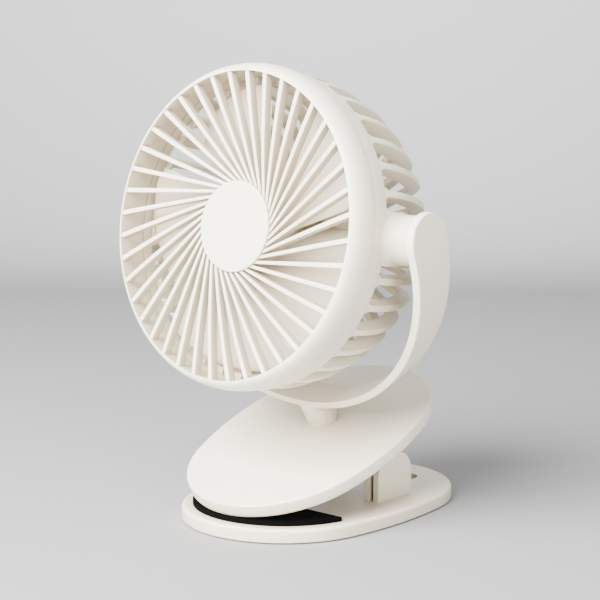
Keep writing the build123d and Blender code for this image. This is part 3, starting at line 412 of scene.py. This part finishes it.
# ---------------------------------------------------------------- grille
SPOKES, SPOKE_PHASE, SPOKE_OFFSET = 40, 2.1, 14.5  # a spoke's line passes the axis at the offset
SPOKE_INNER_RADIUS, SPOKE_OUTER_RADIUS = 18.4, 64.9
SPOKE_HUB_SET, SPOKE_RIM_SET, SPOKE_BOW = 4.8, 0.4, 0.8
SPOKE_HUB_HALF, SPOKE_RIM_HALF, SPOKE_DEPTH, SPOKE_DRAFT = 0.62, 1.05, 4.0, 0.12
SPOKE_WIDENING = 0.8  # under 1, so that a spoke gains most of its width near the hub
SPOKE_FRONT_ROUND, SPOKE_REAR_ROUND = 0.3, 0.35
SPOKE_STEPS = 14
HUB_RADIUS, HUB_FRONT, HUB_REAR = 19.2, 5.2, 8.5
DISC_RADIUS, DISC_FRONT = 19.05, 3.7


def spoke(number):
    """Rings of one grille bar, on a line that passes beside the middle; it narrows inwards."""
    outer_angle = math.radians(SPOKE_PHASE + 360 / SPOKES * number)
    heading = outer_angle + math.acos(SPOKE_OFFSET / OPENING_RADIUS)
    side = Vector((math.sin(heading), math.cos(heading), 0))
    along = Vector((-math.cos(heading), math.sin(heading), 0))
    start = math.sqrt(SPOKE_INNER_RADIUS**2 - SPOKE_OFFSET**2)
    end = math.sqrt(SPOKE_OUTER_RADIUS**2 - SPOKE_OFFSET**2)
    rings = []
    for step in range(SPOKE_STEPS + 1):
        t = step / SPOKE_STEPS
        # the front edge bows forward between the hub and the ring
        depth = SPOKE_HUB_SET * (1 - t) + SPOKE_RIM_SET * t - 4 * SPOKE_BOW * t * (1 - t)
        half = SPOKE_HUB_HALF + (SPOKE_RIM_HALF - SPOKE_HUB_HALF) * t**SPOKE_WIDENING
        rear_half = half - SPOKE_DRAFT
        section = rounded(
            [
                (-half, 0, SPOKE_FRONT_ROUND),
                (half, 0, SPOKE_FRONT_ROUND),
                (rear_half, -SPOKE_DEPTH, SPOKE_REAR_ROUND),
                (-rear_half, -SPOKE_DEPTH, SPOKE_REAR_ROUND),
            ],
            steps=4,
        )
        middle = side * SPOKE_OFFSET + along * (start + (end - start) * t)
        rings.append([middle + side * x + Vector((0, 0, OPENING - depth + y)) for x, y in section])
    return rings


finish(many("grille_bars", [spoke(number) for number in range(SPOKES)], HEAD), "head")
grille_hub = [
    (CENTRE, HUB_FRONT, 0),
    (HUB_RADIUS, HUB_FRONT, 0.2),
    (HUB_RADIUS, HUB_REAR, 0.5),
    (CENTRE, HUB_REAR, 0),
]
finish(turned("grille_hub", grille_hub), "head")
grille_disc = [
    (CENTRE, DISC_FRONT, 0),
    (DISC_RADIUS, DISC_FRONT, 0.4),
    (DISC_RADIUS, HUB_FRONT, 0),
    (CENTRE, HUB_FRONT, 0),
]
finish(turned("grille_disc", grille_disc), "head", "grille_cap")

# ---------------------------------------------------------------- rear cover: band and fins
BAND_DEPTH, BAND_RADIUS, BAND_REAR_RADIUS, BAND_INNER_RADIUS = 19.4, 68.0, 67.5, 64.5
STEP_DEPTH, STEP_RADIUS, SEAM = 14.3, 66.05, 0.05  # the step in the band that takes the ring's spigot
MIDDLE_RADIUS, MIDDLE_DEPTH = 65.6, 39.5
SHOULDER_RADIUS, SHOULDER_DEPTH = 59.4, 56.0
CORNER_RADIUS, CORNER_DEPTH = 55.66, 60.70  # a point of the arc between the bowl's side and its back
BACK_RADIUS, BOWL_DEPTH = 50.1, 63.0
FINS, FIN_PHASE, FIN_DEPTH, FIN_HALF, FIN_ROOT, FIN_DRAFT = 36, 4.7, 6.0, 1.5, 1.4, 0.1
FIN_OUTER_ROUND, FIN_INNER_ROUND = 0.55, 0.4

rear_band = [
    (BAND_RADIUS, RING_DEPTH + SEAM, 0.25),
    (BAND_REAR_RADIUS, BAND_DEPTH, 0.35),
    (BAND_INNER_RADIUS, BAND_DEPTH, 0.4),
    (BAND_INNER_RADIUS, STEP_DEPTH, 0.25),
    (STEP_RADIUS, STEP_DEPTH, 0),
    (STEP_RADIUS, RING_DEPTH + SEAM, 0),
]
finish(turned("rear_band", rear_band, 240), "head", "rear_cover")

# the bowl's outer line as (radius, depth), from the band round to the flat back and in to the cup
bowl_side = arc_through(
    (BAND_REAR_RADIUS, BAND_DEPTH), (MIDDLE_RADIUS, MIDDLE_DEPTH), (SHOULDER_RADIUS, SHOULDER_DEPTH), 18
)
bowl_corner = arc_through(
    (SHOULDER_RADIUS, SHOULDER_DEPTH), (CORNER_RADIUS, CORNER_DEPTH), (BACK_RADIUS, BOWL_DEPTH), 6
)
bowl_line = bowl_side + bowl_corner[1:] + [(radius, BOWL_DEPTH) for radius in (44.0, 36.0, 25.0)]


def fin(number):
    """Rings of one fin: a bar with rounded outer edges that follows the bowl's line."""
    angle = math.radians(FIN_PHASE + 360 / FINS * number)
    radial = Vector((math.sin(angle), math.cos(angle), 0))
    across = Vector((math.cos(angle), -math.sin(angle), 0))
    rings = []
    for index, (radius, depth) in enumerate(bowl_line):
        before = Vector(bowl_line[max(index - 1, 0)])
        after = Vector(bowl_line[min(index + 1, len(bowl_line) - 1)])
        heading = (after - before).normalized()
        inward = Vector((-heading.y, heading.x))
        # a fin widens in a small round where it leaves the band
        into_root = min(max(0.0, FIN_ROOT - (depth - BAND_DEPTH)), FIN_ROOT - 0.01)
        half = FIN_HALF + FIN_ROOT - math.sqrt(FIN_ROOT**2 - into_root**2)
        inner_half = half - FIN_DRAFT
        section = rounded(
            [
                (-half, 0, FIN_OUTER_ROUND),
                (half, 0, FIN_OUTER_ROUND),
                (inner_half, FIN_DEPTH, FIN_INNER_ROUND),
                (-inner_half, FIN_DEPTH, FIN_INNER_ROUND),
            ],
            steps=4,
        )
        ring = []
        for x, y in section:
            place = Vector((radius, depth)) + inward * y
            ring.append(radial * place.x + across * x + Vector((0, 0, OPENING - place.y)))
        rings.append(ring)
    return rings


finish(many("rear_fins", [fin(number) for number in range(FINS)], HEAD), "head")

# ---------------------------------------------------------------- rear cover: pivots
BLOCK_FRONT, BLOCK_REAR, BLOCK_WALL, BLOCK_HALF_ANGLE = 19.2, 42.0, 5.0, 9.3
BLOCK_ROWS, BLOCK_COLUMNS = 12, 6
BOSS_RADIUS, BOSS_SINK, BOSS_NECK, BOSS_FACE, BOSS_ROUND = 10.2, 0.05, 76.0, 78.35, 0.4
BOSS_FLARE, BOSS_FRONT_FLARE = 1.0, 3.4  # how far the foot spreads, and how much further in front
BOSS_ROWS, BOSS_STEPS = 8, 96
WASHER_RADIUS, WASHER_SEAT = 7.62, 0.8
PIVOT_RADIUS, PIVOT_END = 4.0, 80.5


def bowl_radius(depth):
    """Radius of the outer surface at a depth, over the band and the bowl's side."""
    if depth <= BAND_DEPTH:
        drawn_in = max(depth - RING_DEPTH, 0) / (BAND_DEPTH - RING_DEPTH)
        return BAND_RADIUS - (BAND_RADIUS - BAND_REAR_RADIUS) * drawn_in
    for (r0, d0), (r1, d1) in zip(bowl_side, bowl_side[1:]):
        if depth <= d1:
            return r0 + (r1 - r0) * (depth - d0) / (d1 - d0)
    return SHOULDER_RADIUS


def pivot_block(side):
    """Rings of the plain wall between two fins, where a pivot boss stands."""
    rings = []
    for row in range(BLOCK_ROWS + 1):
        depth = BLOCK_FRONT + (BLOCK_REAR - BLOCK_FRONT) * row / BLOCK_ROWS
        outer = bowl_radius(depth)
        ring = []
        for radius, order in ((outer, 1), (outer - BLOCK_WALL, -1)):
            for column in range(-BLOCK_COLUMNS, BLOCK_COLUMNS + 1):
                angle = math.radians(BLOCK_HALF_ANGLE * column / BLOCK_COLUMNS * order)
                ring.append((side * radius * math.cos(angle), radius * math.sin(angle), OPENING - depth))
        rings.append(ring)
    return rings


def pivot_foot(side, row, turn):
    """A point of the boss's foot, which flows into the bowl and spreads most towards the front."""
    flare = BOSS_FLARE + BOSS_FRONT_FLARE * max(0.0, math.sin(turn)) ** 2
    spread = flare * (1 - row / BOSS_ROWS)
    up, forward = (BOSS_RADIUS + spread) * math.cos(turn), (BOSS_RADIUS + spread) * math.sin(turn)
    surface = math.sqrt(bowl_radius(OPENING - forward) ** 2 - up**2)
    rise = flare - math.sqrt(max(flare**2 - (flare - spread) ** 2, 0))
    return (side * (surface - BOSS_SINK + rise), up, forward)


def pivot_boss(side, label):
    """A boss with a seat for its washer and the pin that turns in the yoke."""
    turns = [2 * math.pi * step / BOSS_STEPS for step in range(BOSS_STEPS)]
    points = [pivot_foot(side, row, turn) for row in range(BOSS_ROWS + 1) for turn in turns]
    outline = [(BOSS_RADIUS, BOSS_NECK)]
    outline += quarter_round((BOSS_RADIUS, BOSS_FACE - BOSS_ROUND), (BOSS_RADIUS - BOSS_ROUND, BOSS_FACE), 2)
    outline += [(WASHER_RADIUS, BOSS_FACE), (WASHER_RADIUS, BOSS_FACE - WASHER_SEAT)]
    outline += [(PIVOT_RADIUS, BOSS_FACE - WASHER_SEAT), (PIVOT_RADIUS, PIVOT_END), (CENTRE, PIVOT_END)]
    for reach, out in outline:
        points += [(side * out, reach * math.cos(turn), reach * math.sin(turn)) for turn in turns]
    rows = BOSS_ROWS + 1 + len(outline)
    return new_mesh("pivot_boss_" + label, points, grid_faces(rows, BOSS_STEPS, close_columns=True), HEAD, 40)


finish(many("pivot_blocks", [pivot_block(1), pivot_block(-1)], HEAD), "head")
for side, label in ((1, "right"), (-1, "left")):
    finish(pivot_boss(side, label), "head")

# ---------------------------------------------------------------- rear cover: cup and tower
CUP_RADIUS, CUP_INNER_RADIUS, CUP_FRONT, CUP_FLOOR = 26.0, 24.0, 32.0, 34.0
TOWER_RADIUS, TOWER_BORE, TOWER_FRONT, TOWER_REAR = 4.4, 2.95, 15.5, 32.5

rear_cup = [
    (CENTRE, CUP_FRONT, 0),
    (CUP_RADIUS, CUP_FRONT, 1.2),
    (CUP_RADIUS, BOWL_DEPTH, 0.5),
    (CUP_INNER_RADIUS, BOWL_DEPTH, 0.3),
    (CUP_INNER_RADIUS, CUP_FLOOR, 0),
    (CENTRE, CUP_FLOOR, 0),
]
finish(turned("rear_cup", rear_cup), "head")
shaft_tower = [
    (TOWER_BORE, TOWER_FRONT, 0.2),
    (TOWER_RADIUS, TOWER_FRONT, 0.3),
    (TOWER_RADIUS, TOWER_REAR, 0),
    (TOWER_BORE, TOWER_REAR, 0),
]
finish(turned("shaft_tower", shaft_tower, 64), "head")

# ---------------------------------------------------------------- impeller
BLADES, BLADE_PHASE, BLADE_TIP, BLADE_ROOT = 5, 48.0, 60.0, 15.6
BLADE_ROUND, BLADE_ROOT_OFF = 9.0, 8.0  # a corner's round, and half the width at the hub
CORNER_REACH = BLADE_TIP - BLADE_ROUND
ROUND_FROM = 51.5  # the rounded corners begin at this radius
BLADE_CORNER = math.radians(30.5)
CORNER_OFF, CORNER_OUT = BLADE_TIP * math.sin(BLADE_CORNER), BLADE_TIP * math.cos(BLADE_CORNER)
BLADE_LEAN = math.atan((CORNER_OFF - BLADE_ROOT_OFF) / CORNER_OUT)
BLADE_OFF = BLADE_ROOT_OFF * math.cos(BLADE_LEAN)
# a blade's section at the inner distance, and how much it grows up to the outer one
CHORD_INNER, CHORD_OUTER = 12.0, 61.0
HALF_CHORD, HALF_CHORD_GAIN = 9.0, 24.0
FRONT_EDGE, FRONT_EDGE_GAIN = 15.0, -4.2
REAR_EDGE, REAR_EDGE_GAIN = 26.0, 3.5
CAMBER, HALF_THICKNESS = 0.08, 0.8
SIDE_EDGE, TIP_EDGE = 8, 30  # the higher, the later a blade thins towards its edge
BLADE_ROWS, BLADE_COLUMNS, ROW_CROWDING = 31, 29, 1.6  # rows crowd towards the tip
HUB_TOP, HUB_SKIRT, HUB_OUTER, HUB_INNER, HUB_WEB = 10.6, 28.6, 17.0, 15.2, 12.4


def blade_limit(radius):
    """Half the angle that a blade spans at a radius, with its rounded outer corners."""
    if radius < ROUND_FROM:
        return BLADE_LEAN + math.asin(BLADE_OFF / radius)
    corner = BLADE_LEAN - math.asin((BLADE_ROUND - BLADE_OFF) / CORNER_REACH)
    reach = (radius**2 + CORNER_REACH**2 - BLADE_ROUND**2) / (2 * radius * CORNER_REACH)
    return corner + math.acos(min(1.0, reach))


def blade_depth(reach, off, forward):
    """How deep a blade's surface lies at a place, when it stands forward of the middle by so much."""
    growth = (reach - CHORD_INNER) / (CHORD_OUTER - CHORD_INNER)
    half_chord = HALF_CHORD + HALF_CHORD_GAIN * growth
    u = off / half_chord
    front = FRONT_EDGE + FRONT_EDGE_GAIN * growth
    rear = REAR_EDGE + REAR_EDGE_GAIN * growth
    middle = (front * (1 - u) + rear * (1 + u)) / 2 - CAMBER * half_chord * (1 - u * u)
    return middle + HALF_THICKNESS - forward


def blade(number):
    """Points of one blade: two grids that meet in a rounded edge all round."""
    middle = math.radians(BLADE_PHASE + 360 / BLADES * number)
    outward = Vector((math.sin(middle), math.cos(middle), 0))
    across = Vector((-outward.y, outward.x, 0))
    points = []
    for face in (1, -1):
        for row in range(BLADE_ROWS):
            out = 1 - (1 - row / (BLADE_ROWS - 1)) ** ROW_CROWDING
            radius = BLADE_ROOT + (BLADE_TIP - BLADE_ROOT) * out
            for column in range(BLADE_COLUMNS):
                turn = math.sin(QUARTER * (2 * column / (BLADE_COLUMNS - 1) - 1))
                angle = blade_limit(radius) * turn
                reach, off = radius * math.cos(angle), radius * math.sin(angle)
                edge = math.sqrt(max(1 - turn**SIDE_EDGE, 0)) * math.sqrt(max(1 - out**TIP_EDGE, 0))
                place = outward * reach + across * off
                depth = blade_depth(reach, off, face * HALF_THICKNESS * edge)
                points.append((place.x, place.y, OPENING - depth))
    return points


blade_points, blade_faces = [], []
sheet = grid_faces(BLADE_ROWS, BLADE_COLUMNS)
for number in range(BLADES):
    front_first = len(blade_points)
    rear_first = front_first + BLADE_ROWS * BLADE_COLUMNS
    blade_points += blade(number)
    blade_faces += [tuple(front_first + corner for corner in face) for face in sheet]
    blade_faces += [tuple(rear_first + corner for corner in reversed(face)) for face in sheet]
blades = new_mesh("impeller_blades", blade_points, blade_faces, HEAD, 60)
# painted shade: the blades are white plastic, drawn darker because they lie in the head's shade
finish(blades, "rotor", "impeller", material=SHADED_WHITE)
impeller_hub = [
    (CENTRE, HUB_TOP, 0),
    (HUB_OUTER, HUB_TOP, 1.6),
    (HUB_OUTER, HUB_SKIRT, 0.4),
    (HUB_INNER, HUB_SKIRT, 0.2),
    (HUB_INNER, HUB_WEB, 0.5),
    (CENTRE, HUB_WEB, 0),
]
# painted shade: the hub is white plastic, drawn darker because it lies in the head's shade
finish(turned("impeller_hub", impeller_hub), "rotor", material=SHADED_WHITE)

# ---------------------------------------------------------------- upper jaw
JAW_LENGTH, JAW_WIDTH, JAW_END_RADIUS, JAW_HEIGHT = 125.0, 93.5, 44.6, 6.0
LID_WALL, LID_ROUND, LID_INNER_INSET, POST_HOLE = 2.0, 0.7, 1.95, 6.64
ARC_STEPS = 36


def jaw_oval(inset):
    """The jaw's outline of four tangent arcs, long in y, drawn in by an inset."""
    end_radius = JAW_END_RADIUS - inset
    end_centre = JAW_LENGTH / 2 - JAW_END_RADIUS
    bulge = JAW_WIDTH / 2 - JAW_END_RADIUS
    side_centre = (end_centre**2 - bulge**2) / (2 * bulge)
    side_radius = side_centre + JAW_WIDTH / 2 - inset
    join = math.atan2(end_centre, side_centre)
    arcs = [
        (-side_centre, 0, side_radius, -join, join),
        (0, end_centre, end_radius, join, math.pi - join),
        (side_centre, 0, side_radius, math.pi - join, math.pi + join),
        (0, -end_centre, end_radius, math.pi + join, 2 * math.pi - join),
    ]
    made = []
    for centre_x, centre_y, radius, start, end in arcs:
        for step in range(ARC_STEPS):
            turn = start + (end - start) * step / ARC_STEPS
            made.append((centre_x + radius * math.cos(turn), centre_y + radius * math.sin(turn)))
    return made


def post_hole(height):
    """A ring round the post's hole whose points face those of the jaw's outline."""
    turns = [math.atan2(y - POST_SET, x) for x, y in jaw_oval(LID_ROUND)]
    return [(POST_HOLE * math.cos(turn), POST_SET + POST_HOLE * math.sin(turn), height) for turn in turns]


# (inset, height) down the lid's edge: a crisp upper round, a side that draws in, a soft lower round
lid_edge = quarter_round((0, -LID_ROUND), (LID_ROUND, 0), 6)[::-1]
lid_edge += [(0.1, -2.4), (0.25, -4.6)]
lid_edge += quarter_round((0.4, 0.7 - JAW_HEIGHT), (1.3, -JAW_HEIGHT), 2)
lid_edge += [(LID_INNER_INSET, -JAW_HEIGHT), (LID_INNER_INSET, -LID_WALL)]
lid_rings = [post_hole(-LID_WALL), post_hole(0)]
lid_rings += [[(x, y, height) for x, y in jaw_oval(inset)] for inset, height in lid_edge]
jaw_skin = new_mesh(
    "jaw_skin",
    [point for ring in lid_rings for point in ring],
    grid_faces(len(lid_rings), len(lid_rings[0]), close_rows=True, close_columns=True),
    JAW, 30,
)
finish(jaw_skin, "upper_jaw", "jaw_cover")

# ---------------------------------------------------------------- spring of the clip
WIRE_RADIUS, COIL_RADIUS, SPRING_PITCH = 0.88, 4.8, 3.0
JAW_TILT = 20.0
SPRING_TURNS = 4 + JAW_TILT / 360
LOWER_LEG_FOOT, UPPER_LEG_LENGTH = 6.4, 18.1
COIL_STEPS, LEG_STEPS = 160, 6
half_coil = SPRING_PITCH * SPRING_TURNS / 2


def coil_point(share):
    """A point of the coil, from the lower leg at share 0 to the upper leg at share 1."""
    turn = 2 * math.pi * SPRING_TURNS * share
    across, up = COIL_RADIUS * math.cos(turn), COIL_RADIUS * math.sin(turn)
    return PIN + Vector((half_coil * (2 * share - 1), across, up))


coil = [coil_point(step / COIL_STEPS) for step in range(COIL_STEPS + 1)]
lower_leg = Vector((0, 0, LOWER_LEG_FOOT - PIN.z))
upper_leg = (POST.to_3x3() @ Vector((0, 0, 1))) * UPPER_LEG_LENGTH
wire_line = [coil[0] + lower_leg * (1 - step / LEG_STEPS) for step in range(LEG_STEPS)] + coil
wire_line += [coil[-1] + upper_leg * step / LEG_STEPS for step in range(1, LEG_STEPS + 1)]
wire = bpy.data.curves.new("spring_wire", "CURVE")
wire.dimensions = "3D"
wire.bevel_depth = WIRE_RADIUS * MM
wire.bevel_resolution = 5
wire.use_fill_caps = True
spline = wire.splines.new("POLY")
spline.points.add(len(wire_line) - 1)
for point, place in zip(spline.points, wire_line):
    point.co = (*(place * MM), 1)
wire_curve = bpy.data.objects.new("spring_curve", wire)
spring = bpy.data.objects.new("spring_wire", bpy.data.meshes.new_from_object(wire_curve))
bpy.data.objects.remove(wire_curve)
bpy.context.scene.collection.objects.link(spring)
dress(spring, "steel", "clip_spring")
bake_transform(spring)
